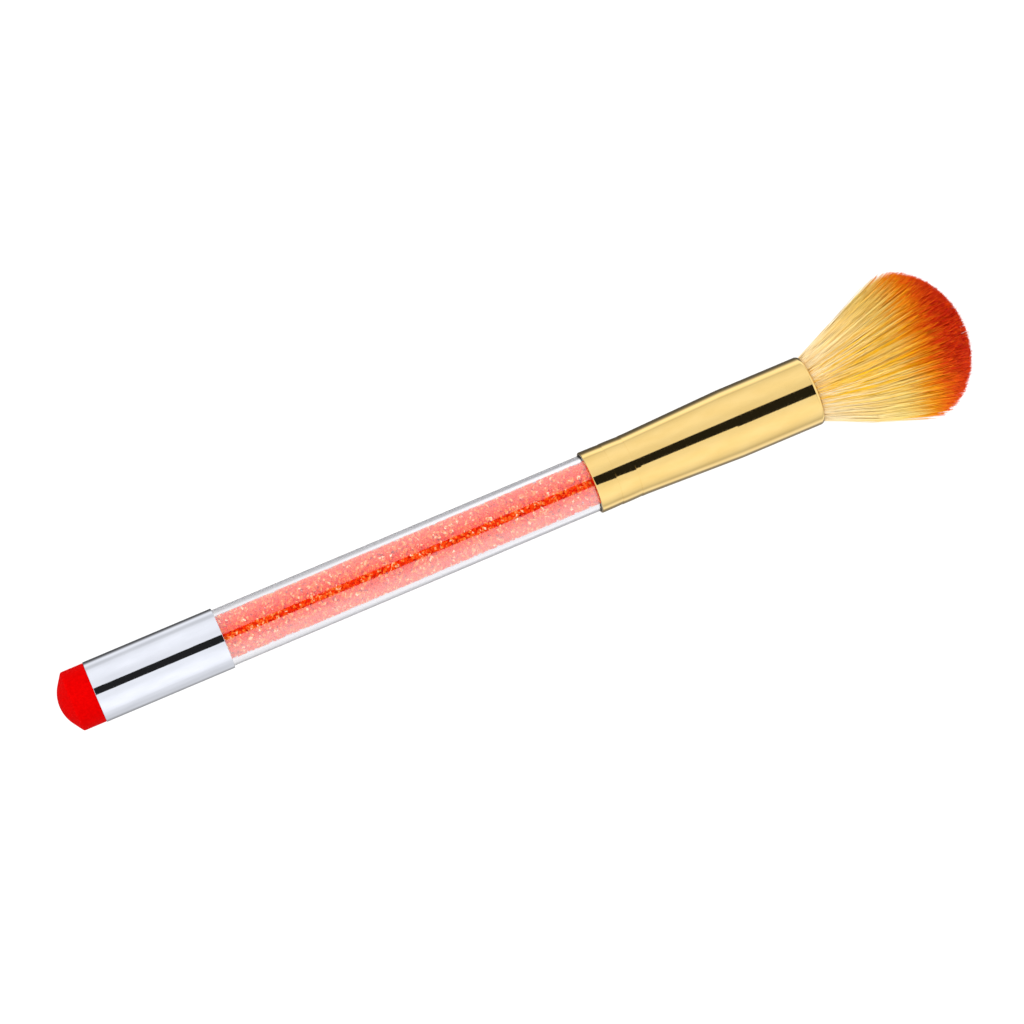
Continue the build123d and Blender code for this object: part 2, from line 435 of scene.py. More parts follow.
def grown(name, tree, sizes):
    # runs the tree on an empty mesh and keeps the result as a plain one
    holder = bpy.data.objects.new(name + "Holder", bpy.data.meshes.new(name + "Holder"))
    bpy.context.scene.collection.objects.link(holder)
    modifier = holder.modifiers.new(name, "NODES")
    modifier.node_group = tree
    items = tree.interface.items_tree
    sockets = {item.name: item.identifier for item in items if item.in_out == "INPUT"}
    for label, value in sizes.items():
        modifier[sockets[label]] = value
    bpy.context.view_layer.update()
    depsgraph = bpy.context.evaluated_depsgraph_get()
    mesh = bpy.data.meshes.new_from_object(holder.evaluated_get(depsgraph), depsgraph=depsgraph)
    holder.modifiers.clear()
    bpy.data.objects.remove(holder)
    mesh.name = name
    print(name, len(mesh.polygons), "faces")
    return mesh


def crystalTree(p, material):
    # Points wound round near the bore's wall, a faceted bead on each, turned and sized by chance
    tree, add, given = newGeometryTree("crystalFilling", p)
    points = add("GeometryNodePoints", {"Count": given["Count"]})
    index = add("GeometryNodeInputIndex")
    half = add("ShaderNodeMath", {0: given["Crystal size"], 1: 0.5}, operation="MULTIPLY")
    # each crystal lies a little further along than the last, and a golden angle round from it
    angle = add("ShaderNodeMath", {0: index, 1: goldenAngle}, operation="MULTIPLY")
    pressed = add("ShaderNodeMath", {0: half, 1: given["Pressed share"]}, operation="MULTIPLY")
    outermost = add("ShaderNodeMath", {0: handleTube["bore"], 1: pressed}, operation="SUBTRACT")
    innermost = add(
        "ShaderNodeMath", {0: outermost, 1: given["Hollow share"]}, operation="MULTIPLY"
    )
    radius = add(
        "FunctionNodeRandomValue", {"Min": innermost, "Max": outermost, "Seed": given["Seed"]}
    )
    firstS = add("ShaderNodeMath", {0: fillStart, 1: half}, operation="ADD")
    lastS = add("ShaderNodeMath", {0: fillEnd, 1: half}, operation="SUBTRACT")
    along = add(
        "ShaderNodeMapRange",
        {"Value": index, "From Max": given["Count"], "To Min": firstS, "To Max": lastS},
    )
    _, spoke = spokeAt(add, angle)
    outward = add("ShaderNodeVectorMath", {0: spoke, "Scale": radius}, operation="SCALE")
    onLine = add("ShaderNodeCombineXYZ", {"X": along})
    place = add("ShaderNodeVectorMath", {0: onLine, 1: outward}, operation="ADD")
    placed = add("GeometryNodeSetPosition", {"Geometry": points, "Position": place})
    bead = add("GeometryNodeMeshIcoSphere", {"Radius": half, "Subdivisions": 1})
    turn = add(
        "FunctionNodeRandomValue",
        {"Max": (2 * math.pi, 2 * math.pi, 2 * math.pi), "Seed": given["Seed"]},
        data_type="FLOAT_VECTOR",
    )
    smallest = add("ShaderNodeMath", {0: 1.0, 1: given["Size spread"]}, operation="SUBTRACT")
    least = add("ShaderNodeCombineXYZ", {"X": smallest, "Y": smallest, "Z": smallest})
    size = add(
        "FunctionNodeRandomValue",
        {"Min": least, "Max": (1.0, 1.0, 1.0), "Seed": given["Seed"]},
        data_type="FLOAT_VECTOR",
    )
    beads = add(
        "GeometryNodeInstanceOnPoints",
        {"Points": placed, "Instance": bead, "Rotation": turn, "Scale": size},
    )
    chance = add("FunctionNodeRandomValue", {"Seed": given["Seed"]})
    dyed = add(
        "GeometryNodeStoreNamedAttribute",
        {"Geometry": beads, "Name": "tone", "Value": chance},
        domain="INSTANCE",
    )
    whole = add("GeometryNodeRealizeInstances", {"Geometry": dyed})
    # a facet differs a little from its crystal's own shade
    ownTone = add("GeometryNodeInputNamedAttribute", {"Name": "tone"})
    facetTone = add("FunctionNodeRandomValue", {"Seed": given["Seed"]})
    mixedTone = add("ShaderNodeMix", {"Factor": given["Facet share"], "A": ownTone, "B": facetTone})
    toned = add(
        "GeometryNodeStoreNamedAttribute",
        {"Geometry": whole, "Name": "tone", "Value": mixedTone},
        domain="FACE",
    )
    # every corner is pushed a little, so that no two crystals are alike, and none leaves the bore
    push = add(
        "FunctionNodeRandomValue",
        {"Min": (-0.5, -0.5, -0.5), "Max": (0.5, 0.5, 0.5), "Seed": given["Seed"]},
        data_type="FLOAT_VECTOR",
    )
    pushed = add("ShaderNodeVectorMath", {0: push, "Scale": given["Roughening"]}, operation="SCALE")
    rough = add("GeometryNodeSetPosition", {"Geometry": toned, "Offset": pushed})
    here = add("GeometryNodeInputPosition")
    parts = add("ShaderNodeSeparateXYZ", {0: here}).outputs
    side = add("ShaderNodeCombineXYZ", {"Y": parts["Y"], "Z": parts["Z"]})
    out = add("ShaderNodeVectorMath", {0: side}, operation="LENGTH")
    limit = add("ShaderNodeMath", {0: handleTube["bore"] - boreGap, 1: out}, operation="DIVIDE")
    share = add("ShaderNodeMath", {0: limit, 1: 1.0}, operation="MINIMUM")
    inBore = add("ShaderNodeCombineXYZ", {"X": 1.0, "Y": share, "Z": share})
    held = add("ShaderNodeVectorMath", {0: here, 1: inBore}, operation="MULTIPLY")
    fitted = add("GeometryNodeSetPosition", {"Geometry": rough, "Position": held})
    painted = add("GeometryNodeSetMaterial", {"Geometry": fitted, "Material": material})
    add("NodeGroupOutput", {0: painted})
    return tree


def dyedAcrylicChips():
    # Crushed acrylic dyed in the mass: sharp little facets from deep orange-red to amber and peach,
    # with painted glints as the palest. A faint painted glow stands for light that reaches a grain
    # through its neighbours.
    material, add = newMaterial("dyedAcrylicChips")
    tone = add("ShaderNodeAttribute", attribute_name="tone")
    dyeAndGlints = add("ShaderNodeValToRGB", {"Fac": tone.outputs["Fac"]})
    # painted glints: the palest stops, near white, stand in for light caught on facets
    setRamp(
        dyeAndGlints,
        [
            (0.0, "b01000"), (0.14, "e01c00"), (0.34, "f63200"), (0.5, "f83e00"), (0.66, "fa5a06"),
            (0.82, "fc943c"), (0.9, "ffc084"), (1.0, "fff0d0"),
        ],
    )
    skin = add(
        "ShaderNodeBsdfPrincipled",
        {
            "Base Color": dyeAndGlints, "Roughness": 0.3, "IOR": 1.49, "Specular IOR Level": 0.05,
            "Emission Color": dyeAndGlints, "Emission Strength": 0.1,
        },
    )
    add("ShaderNodeOutputMaterial", {"Surface": skin})
    return material


chipMaterial = dyedAcrylicChips()
chipTree = crystalTree(crystalFilling, chipMaterial)
chipMesh = grown("crystalFilling", chipTree, crystalFilling)
chips = finishPiece("crystalFilling", chipMesh, smooth=False)
keepPiece(chips, chipMaterial, "red_crystals", "crystal_filling")
print("crystals made")


goldFerrule = {
    "neckRadius": 5.5,
    "bodyTrim": 0.05,
    "neck": 8.4,
    "mouthLength": 15.0,
    "wall": 0.4,
    "edgeRound": 0.16,
    "bendRound": 3.0,
    "firstCrimp": 3.85,
    "crimpPitch": 3.6,
    "crimpCount": 2,
    "crimpWidth": 3.0,
    "crimpStep": 0.004,
    "crimpDepth": 0.06,
    "crimpSteps": 8,
    "lipLength": 0.5,
    "lipEdge": 0.02,
    "lipDrop": 0.28,
    "lipBend": 42.0,
    "lipSteps": 8,
    "sides": 256,
}


def makeFerrule(p):
    neck, body = p["neckRadius"], mouthRadius - p["bodyTrim"]
    outside = [(ferruleStart, neck, p["edgeRound"])]
    for number in range(p["crimpCount"]):
        # a crimp dips slowly towards the mouth and comes back in one sharp step
        end = ferruleStart + p["firstCrimp"] + number * p["crimpPitch"]
        for k in range(p["crimpSteps"] + 1):
            share = k / p["crimpSteps"]
            s = end - (1 - share) * p["crimpWidth"]
            outside.append((s, neck - p["crimpDepth"] * share**2, 0))
        outside.append((end + p["crimpStep"], neck, 0))
    outside.append((ferruleStart + p["neck"], neck, p["bendRound"]))
    outside.append((mouth - p["mouthLength"], body, p["bendRound"]))
    outside.append((mouth - p["lipLength"] - p["lipEdge"], body, 0))
    bend = math.radians(p["lipBend"])
    for k in range(p["lipSteps"]):
        # the lip breaks from the body at a slight bend and is drawn in round the hair
        turn = bend + (math.pi / 2 - bend) * k / p["lipSteps"]
        left = (1 - math.sin(turn)) / (1 - math.sin(bend))
        drop = 1 - math.cos(turn) / math.cos(bend)
        outside.append((mouth - p["lipLength"] * left, body - p["lipDrop"] * drop, 0))
    outside.append((mouth, body - p["lipDrop"], 0))
    inside = [
        (mouth, body - p["wall"], 0),
        (mouth - p["mouthLength"], body - p["wall"], 0),
        (ferruleStart + p["neck"], neck - p["wall"], 0),
        (ferruleStart, neck - p["wall"], 0),
    ]
    return lathe("goldFerrule", rounded(outside + inside), p["sides"])


def goldAnodised():
    # Drawn aluminium, bright dipped and anodised gold: a warm mirror, a touch softer than
    # chrome, with the faint lines of drawing round about.
    material, add = newMaterial("goldAnodisedAluminium")
    spot = brushPoint(add)
    stretched = add("ShaderNodeMapping", {"Vector": spot, "Scale": (0.2, 0.5, 0.5)})
    cloud = add("ShaderNodeTexNoise", {"Vector": stretched, "Scale": 1.0, "Detail": 3.0})
    tint = add("ShaderNodeValToRGB", {"Fac": cloud})
    setRamp(tint, [(0.32, "e0bf78"), (0.68, "e5c682")])
    ringed = add("ShaderNodeMapping", {"Vector": spot, "Scale": (3.2, 0.12, 0.12)})
    drawing = add("ShaderNodeTexNoise", {"Vector": ringed, "Scale": 1.0, "Detail": 3.0})
    gloss = add(
        "ShaderNodeMapRange",
        {"Value": drawing, "From Min": 0.3, "From Max": 0.7, "To Min": 0.05, "To Max": 0.1},
    )
    wave = add("ShaderNodeBump", {"Height": drawing, "Strength": 0.3, "Distance": 0.006 * mm})
    skin = add(
        "ShaderNodeBsdfPrincipled",
        {"Base Color": tint, "Metallic": 1.0, "Roughness": gloss, "Normal": wave},
    )
    add("ShaderNodeOutputMaterial", {"Surface": skin})
    return material


ferrule = makeFerrule(goldFerrule)
keepPiece(ferrule, goldAnodised(), "gold_aluminium", "ferrule")
print("ferrule made")


hairTuft = {
    "Count": 16000,
    "Root spread": 5.1,
    "Head spread": 13.0,
    "Shoulder": 19.3,
    "Reach": 28.7,
    "Dome": 0.58,
    "Raggedness": 0.42,
    "Stray": 0.014,
    "Root radius": 0.044,
    "Strand radius": 0.06,
    "Tip radius": 0.03,
    "Clump size": 0.55,
    "Clumping": 0.03,
    "Lean": 0.4,
    "Dome tilt": 0.03,
    "Fullness": 0.9,
    "Sway": -1.2,
    "Dye unevenness": 3.8,
    "Dye tilt": 0.06,
    "Painted flank light": 0.7,
    "Rare cut": 3.0,
}
toneColumns = 48  # shades of strand, side by side on the hair's own map
rootDepth = 1.4  # how far a strand starts inside the mouth
tipTurn = 0.13  # how far a tip strays round the brush, in radians
tipDrift = 0.09  # and how far in or out, as a share of the tuft's section
tipJitter = 0.3  # scatter of the tips before they are drawn together, in millimetres
cutPower, strayPower = 9.0, 12.0  # how rare a deep cut is, and a tip outside the outline
bendReach = 0.9  # the most that a strand bows to a side by chance, in millimetres
hairLift = 0.02  # room between the lowest strands and the floor, in millimetres


def hairTree(p, material):
    # Strands run from roots spread over the mouth to tips on the dome, drawn together in tufts
    tree, add, given = newGeometryTree("hairTuft", p)
    points = add("GeometryNodePoints", {"Count": given["Count"]})
    index = add("GeometryNodeInputIndex")
    angle = add("ShaderNodeMath", {0: index, 1: goldenAngle}, operation="MULTIPLY")
    _, spoke = spokeAt(add, angle)
    counted = add("ShaderNodeMath", {0: index, 1: 0.5}, operation="ADD")
    square = add("ShaderNodeMath", {0: counted, 1: given["Count"]}, operation="DIVIDE")
    share = add("ShaderNodeMath", {0: square}, operation="SQRT")

    # the tips are strewn a little round and in or out, so that the strands cross here and there
    tipShift = add("FunctionNodeRandomValue", {"Min": -tipTurn, "Max": tipTurn, "Seed": 61})
    tipAngle = add("ShaderNodeMath", {0: angle, 1: tipShift}, operation="ADD")
    tipAcross, tipSpoke = spokeAt(add, tipAngle)
    tipOut = add("FunctionNodeRandomValue", {"Min": -tipDrift, "Max": tipDrift, "Seed": 67})
    tipSquare = add("ShaderNodeMath", {0: square, 1: tipOut}, operation="ADD", use_clamp=True)
    tipShare = add("ShaderNodeMath", {0: tipSquare}, operation="SQRT")

    rootRadiusHere = add(
        "ShaderNodeMath", {0: share, 1: given["Root spread"]}, operation="MULTIPLY"
    )
    rootSide = add("ShaderNodeVectorMath", {0: spoke, "Scale": rootRadiusHere}, operation="SCALE")
    rootPlace = add(
        "ShaderNodeVectorMath", {0: rootSide, 1: (mouth - rootDepth, 0, 0)}, operation="ADD"
    )

    # the dome falls from its top to the shoulder as the strands lie further out
    fall = add("ShaderNodeMath", {0: 1.0, 1: tipSquare}, operation="SUBTRACT")
    domeShare = add("ShaderNodeMath", {0: fall, 1: given["Dome"]}, operation="POWER")
    tipAlong = add(
        "ShaderNodeMapRange",
        {"Value": domeShare, "To Min": given["Shoulder"], "To Max": given["Reach"]},
    )
    shorter = add("FunctionNodeRandomValue", {"Seed": 11})
    rarely = add("ShaderNodeMath", {0: shorter, 1: cutPower}, operation="POWER")
    smallCut = add("ShaderNodeMath", {0: shorter, 1: given["Raggedness"]}, operation="MULTIPLY")
    # the dome is cut a little askew, longer towards the front
    sideways = add("ShaderNodeMath", {0: tipAcross, 1: tipShare}, operation="MULTIPLY")
    skew = add("ShaderNodeMath", {0: sideways, 1: given["Head spread"]}, operation="MULTIPLY")
    skewCut = add(
        "ShaderNodeMath", {0: skew, 1: given["Dome tilt"], 2: smallCut}, operation="MULTIPLY_ADD"
    )
    largeCut = add(
        "ShaderNodeMath", {0: rarely, 1: given["Rare cut"], 2: skewCut}, operation="MULTIPLY_ADD"
    )
    cutAlong = add("ShaderNodeMath", {0: tipAlong, 1: largeCut}, operation="SUBTRACT")

    headRadiusHere = add(
        "ShaderNodeMath", {0: tipShare, 1: given["Head spread"]}, operation="MULTIPLY"
    )
    headSide = add(
        "ShaderNodeVectorMath", {0: tipSpoke, "Scale": headRadiusHere}, operation="SCALE"
    )
    jitter = add(
        "FunctionNodeRandomValue",
        {"Min": (0.0, -tipJitter, -tipJitter), "Max": (0.0, tipJitter, tipJitter), "Seed": 23},
        data_type="FLOAT_VECTOR",
    )
    loose = add("ShaderNodeVectorMath", {0: headSide, 1: jitter}, operation="ADD")
    cellScale = add("ShaderNodeMath", {0: 1.0, 1: given["Clump size"]}, operation="DIVIDE")
    cells = add("ShaderNodeTexVoronoi", {"Vector": loose, "Scale": cellScale, "Randomness": 0.9})
    cellSide = add(
        "ShaderNodeVectorMath",
        {0: cells.outputs["Position"], 1: (0.0, 1.0, 1.0)},
        operation="MULTIPLY",
    )
    drawn = add(
        "ShaderNodeMix",
        {"Factor": given["Clumping"], "A": loose, "B": cellSide},
        data_type="VECTOR",
    )
    tipMiddle = add("ShaderNodeCombineXYZ", {"X": cutAlong, "Y": given["Lean"]})
    tipSide = add("ShaderNodeVectorMath", {0: drawn, 1: tipMiddle}, operation="ADD")
    # a few tips stand out of the outline
    luck = add("FunctionNodeRandomValue", {"Seed": 71})
    rare = add("ShaderNodeMath", {0: luck, 1: strayPower}, operation="POWER")
    longer = add("ShaderNodeMath", {0: rare, 1: given["Stray"], 2: 1.0}, operation="MULTIPLY_ADD")
    outset = add("ShaderNodeVectorMath", {0: tipSide, "Scale": longer}, operation="SCALE")
    tipPlace = add("ShaderNodeVectorMath", {0: outset, 1: (mouth, 0, 0)}, operation="ADD")

    bend = add(
        "FunctionNodeRandomValue",
        {"Min": (0.0, -bendReach, -bendReach), "Max": (0.0, bendReach, bendReach), "Seed": 31},
        data_type="FLOAT_VECTOR",
    )
    fullness = add("ShaderNodeMath", {0: share, 1: given["Fullness"]}, operation="MULTIPLY")
    swell = add("ShaderNodeVectorMath", {0: spoke, "Scale": fullness}, operation="SCALE")
    bent = add("ShaderNodeVectorMath", {0: bend, 1: swell}, operation="ADD")
    sway = add("ShaderNodeCombineXYZ", {"Y": given["Sway"]})
    bow = add("ShaderNodeVectorMath", {0: bent, 1: sway}, operation="ADD")
    ownTone = add("FunctionNodeRandomValue", {"Seed": 41})
    clumpTone = add("ShaderNodeSeparateXYZ", {0: cells.outputs["Color"]})
    mixedTone = add("ShaderNodeMix", {"Factor": 0.5, "A": ownTone, "B": clumpTone})
    strandTone = add("ShaderNodeMapRange", {"Value": mixedTone, "From Min": 0.2, "From Max": 0.8})
    # painted light: strands are paler towards the two flanks, where the tuft's sides catch more
    # light
    aside = add("ShaderNodeMath", {0: sideways}, operation="ABSOLUTE")
    paintedFlankLight = add(
        "ShaderNodeMapRange",
        {"Value": aside, "From Min": 0.35, "From Max": 0.85, "To Max": given["Painted flank light"]},
    )
    tone = add("ShaderNodeMix", {"Factor": paintedFlankLight, "A": strandTone, "B": 1.0})
    dyeShift = add("FunctionNodeRandomValue", {"Min": -0.5, "Max": 0.5, "Seed": 53})

    carried = {
        "rootPlace": ("FLOAT_VECTOR", rootPlace),
        "tipPlace": ("FLOAT_VECTOR", tipPlace),
        "bow": ("FLOAT_VECTOR", bow),
        "tone": ("FLOAT", tone),
        "dyeShift": ("FLOAT", dyeShift),
    }
    stored = points
    for name, (kind, value) in carried.items():
        stored = add(
            "GeometryNodeStoreNamedAttribute",
            {"Geometry": stored, "Name": name, "Value": value},
            data_type=kind,
        )

    line = add("GeometryNodeCurvePrimitiveLine", {"End": (1.0, 0.0, 0.0)})
    parted = add("GeometryNodeResampleCurve", {"Curve": line, "Count": 3})
    strands = add("GeometryNodeInstanceOnPoints", {"Points": stored, "Instance": parted})
    whole = add("GeometryNodeRealizeInstances", {"Geometry": strands})
    named = {}
    for name, (kind, _) in carried.items():
        named[name] = add("GeometryNodeInputNamedAttribute", {"Name": name}, data_type=kind)
    run = add("GeometryNodeSplineParameter")
    straight = add(
        "ShaderNodeMix",
        {"Factor": run, "A": named["rootPlace"], "B": named["tipPlace"]},
        data_type="VECTOR",
    )
    left = add("ShaderNodeMath", {0: 1.0, 1: run}, operation="SUBTRACT")
    sag = add("ShaderNodeMath", {0: left, 1: run}, operation="MULTIPLY")
    bowed = add("ShaderNodeVectorMath", {0: named["bow"], "Scale": sag}, operation="SCALE")
    course = add("ShaderNodeVectorMath", {0: straight, 1: bowed}, operation="ADD")
    laid = add("GeometryNodeSetPosition", {"Geometry": whole, "Position": course})
    # a strand is finest where it is packed at the root, and tapers again to its tip
    atRoot = add(
        "ShaderNodeMapRange",
        {
            "Value": run, "From Max": 0.5, "To Min": given["Root radius"],
            "To Max": given["Strand radius"],
        },
    )
    taper = add(
        "ShaderNodeMapRange",
        {
            "Value": run, "From Min": 0.5, "From Max": 1.0, "To Min": atRoot,
            "To Max": given["Tip radius"],
        },
    )

    # the strand's map: its shade across, painted flank light included, and the dye along, from the
    # mouth to the tip
    parts = add("ShaderNodeSeparateXYZ", {0: add("GeometryNodeInputPosition")}).outputs
    shifted = add(
        "ShaderNodeMath",
        {0: named["dyeShift"], 1: given["Dye unevenness"], 2: parts["X"]},
        operation="MULTIPLY_ADD",
    )
    askew = add("ShaderNodeMath", {0: parts["Y"], 1: given["Dye tilt"]}, operation="MULTIPLY")
    level = add("ShaderNodeMath", {0: shifted, 1: askew}, operation="SUBTRACT")
    dyeFrom = add("ShaderNodeMath", {0: level, 1: mouth - rootDepth}, operation="SUBTRACT")
    dyed = add(
        "ShaderNodeMapRange",
        {"Value": dyeFrom, "From Max": hairEnd - mouth + rootDepth, "To Max": 0.999},
    )
    marked = add(
        "GeometryNodeStoreNamedAttribute", {"Geometry": laid, "Name": "dyed", "Value": dyed}
    )
    ring = add("GeometryNodeCurvePrimitiveCircle", {"Resolution": 3, "Radius": 1.0})
    corner = add("GeometryNodeInputIndex")
    sideShare = add(
        "ShaderNodeMapRange", {"Value": corner, "From Max": 2.0, "To Min": 0.1, "To Max": 0.9}
    )
    ringMarked = add(
        "GeometryNodeStoreNamedAttribute", {"Geometry": ring, "Name": "side", "Value": sideShare}
    )
    skin = add(
        "GeometryNodeCurveToMesh",
        {"Curve": marked, "Profile Curve": ringMarked, "Scale": taper, "Fill Caps": False},
    )
    sideOf = add("GeometryNodeInputNamedAttribute", {"Name": "side"})
    dyedOf = add("GeometryNodeInputNamedAttribute", {"Name": "dyed"})
    scaled = add("ShaderNodeMath", {0: named["tone"], 1: toneColumns - 0.01}, operation="MULTIPLY")
    column = add("ShaderNodeMath", {0: scaled}, operation="FLOOR")
    inColumn = add("ShaderNodeMath", {0: column, 1: sideOf}, operation="ADD")
    u = add("ShaderNodeMath", {0: inColumn, 1: toneColumns}, operation="DIVIDE")
    mapPlace = add("ShaderNodeCombineXYZ", {"X": u, "Y": dyedOf})
    mapped = add(
        "GeometryNodeStoreNamedAttribute",
        {"Geometry": skin, "Name": "OFBake", "Value": mapPlace},
        data_type="FLOAT2", domain="CORNER",
    )
    allReal = add("GeometryNodeRealizeInstances", {"Geometry": mapped})
    painted = add("GeometryNodeSetMaterial", {"Geometry": allReal, "Material": material})
    add("NodeGroupOutput", {0: painted})
    return tree


def dippedNylon():
    # Fine tapered nylon filament, cream, its tips dip-dyed orange-red: each strand has its own
    # shade, the dye creeps up unevenly, and the sheen is that of silk rather than of a mirror.
    material, add = newMaterial("dippedNylonFilament")
    own = add("ShaderNodeUVMap", uv_map="OFBake")
    place = add("ShaderNodeSeparateXYZ", {0: own})
    dark = add("ShaderNodeValToRGB", {"Fac": place.outputs["Y"]})
    # painted shade: both ramps start darker at the mouth, standing in for the ferrule's shade on
    # the roots
    setRamp(
        dark,
        [
            (0.0, "d89430"), (0.12, "ffcc30"), (0.28, "ffcc00"), (0.52, "ffc200"), (0.6, "ffa000"),
            (0.71, "ea3600"), (0.83, "cc0200"), (1.0, "da0c00"),
        ],
    )
    light = add("ShaderNodeValToRGB", {"Fac": place.outputs["Y"]})
    setRamp(
        light,
        [
            (0.0, "e8c888"), (0.1, "fff0cc"), (0.25, "ffeab2"), (0.51, "ffe88c"), (0.62, "ffb814"),
            (0.75, "fe6c00"), (0.86, "ff4a00"), (1.0, "ff6200"),
        ],
    )
    # the paler end of the map's width carries the painted flank light as well as each strand's own
    # shade
    darkBias = 1.3
    paleness = add("ShaderNodeMath", {0: place.outputs["X"], 1: darkBias}, operation="POWER")
    mixed = add("ShaderNodeMix", {"Factor": paleness, "A": dark, "B": light}, data_type="RGBA")
    skin = add(
        "ShaderNodeBsdfPrincipled",
        {"Base Color": mixed, "Roughness": 0.45, "IOR": 1.53, "Specular IOR Level": 0.15},
    )
    add("ShaderNodeOutputMaterial", {"Surface": skin})
    return material


filament = dippedNylon()
strandTree = hairTree(hairTuft, filament)
strandMesh = grown("hairTuft", strandTree, hairTuft)
hair = finishPiece("hairTuft", strandMesh, sharpFrom=180)
# no strand dips into the floor
floorHeight = cadBox[0][2]
for vertex in hair.data.vertices:
    vertex.co.z = max(vertex.co.z, floorHeight + hairLift * mm)
keepPiece(hair, filament, "synthetic_hair", "bristles")
print("hair made")


def hiddenPlastic(name, hexDark, hexLight):
    # moulded plastic and cast resin inside the ferrule, where only their colour would show
    material, add = newMaterial(name)
    spot = brushPoint(add)
    cloudMm = 1.2
    cloud = add("ShaderNodeTexNoise", {"Vector": spot, "Scale": 1 / cloudMm, "Detail": 3.0})
    tint = add("ShaderNodeValToRGB", {"Fac": cloud})
    setRamp(tint, [(0.35, hexDark), (0.65, hexLight)])
    skin = add("ShaderNodeBsdfPrincipled", {"Base Color": tint, "Roughness": 0.4})
    add("ShaderNodeOutputMaterial", {"Surface": skin})
    return material


for node, plastic in (
    ("front_stopper", hiddenPlastic("whitePolyethylene", "eceae4", "f6f5f1")),
    ("tuft_root", hiddenPlastic("amberSettingResin", "b98a4a", "d8b070")),
):
    cadNodes[node].data.materials.clear()
    cadNodes[node].data.materials.append(plastic)
print("hidden pieces coloured")


studio = {
    "floorHalf": 1.6,
    "floorDropMm": 0.06,
    "floorColour": "a0a0a1",
    "floorLift": 0.73,
    "floorBounce": 0.4,
    "sheetReach": 0.24,
    # painted shade and painted reflection for rays from metal, in millimetres across the floor: a
    # dark zone close to the brush stands in for its shadow, the brighter bands for a sheet and
    # table
    "tailPaintedMirrorMm": [
        (-240, 1.12), (-72, 1.04), (-43, 1.01), (-30, 0.96), (-22, 0.9), (-12.5, 0.88),
        (-10.5, 0.55), (-7, 0.32), (-4, 0.15), (8, 0.1), (11.2, 0.16), (14, 0.7), (16.5, 1.15),
        (19.5, 1.2), (25, 1.08), (32, 0.92), (43, 0.85), (64, 0.88), (110, 0.94), (240, 1.02),
    ],
    "mouthPaintedMirrorMm": [
        (-240, 1.18), (-108, 1.08), (-68, 0.97), (-50, 0.84), (-38, 0.78), (-30, 1.06), (-24, 1.28),
        (-19.5, 1.2), (-17.2, 0.7), (-15, 0.34), (-10, 0.3), (10, 0.12), (17, 0.16), (21, 0.38),
        (25.5, 0.95), (31, 1.5), (46, 1.54), (58, 1.36), (78, 1.06), (115, 0.9), (193, 1.04),
        (240, 1.1),
    ],
    # painted shade under the tube, for rays seen through its wall
    "throughTubePaintedShadeMm": [
        (-14, 1.0), (-8, 0.95), (-7, 0.8), (-6, 0.56), (-5, 0.62), (-3.5, 0.82), (0, 1.0),
        (3, 1.05), (4.2, 1.06), (5.3, 0.72), (6.4, 0.5), (8.4, 0.42), (9.5, 0.5), (10.7, 0.76),
        (12, 0.93), (15, 1.05),
    ],
    "sheetTail": -0.054,
    "sheetMouth": 0.014,
    "fillLevel": 0.48,
    "gapSine": 0.2365,
    "gapSoft": 0.006,
    "gapWidening": 0.318,
    "gapTurn": 0.291,
    "gapBend": 0.2,
    "gapFlare": 1.6,
    "gapShift": 0.0019,
    "gapLength": 0.42,
    "gapRound": 0.04,
    "gapLevel": 0.018,
    "frontLevel": 1.39,
    "backLevel": 1.29,
    "levelSine": 0.3,
    "softboxFalloff": [
        (0.0, 0.85), (0.08, 0.9), (0.16, 0.93), (0.24, 0.96), (0.35, 0.985), (0.57, 1.0),
        (0.67, 0.98), (0.75, 0.945), (0.82, 0.905), (0.88, 0.87), (1.0, 0.855),
    ],
    # size, place from the brush's middle, and power
    "lamps": {
        "frontSoftbox": (0.9, (0, -0.75, 0.45), 3.0),
        "backSoftbox": (0.9, (0, 0.75, 0.45), 4.15),
        "tailSoftbox": (0.9, (-0.75, 0, 0.45), 3.7),
        "topSoftbox": (0.5, (-0.07, 0, 0.6), 2.0),
    },
}


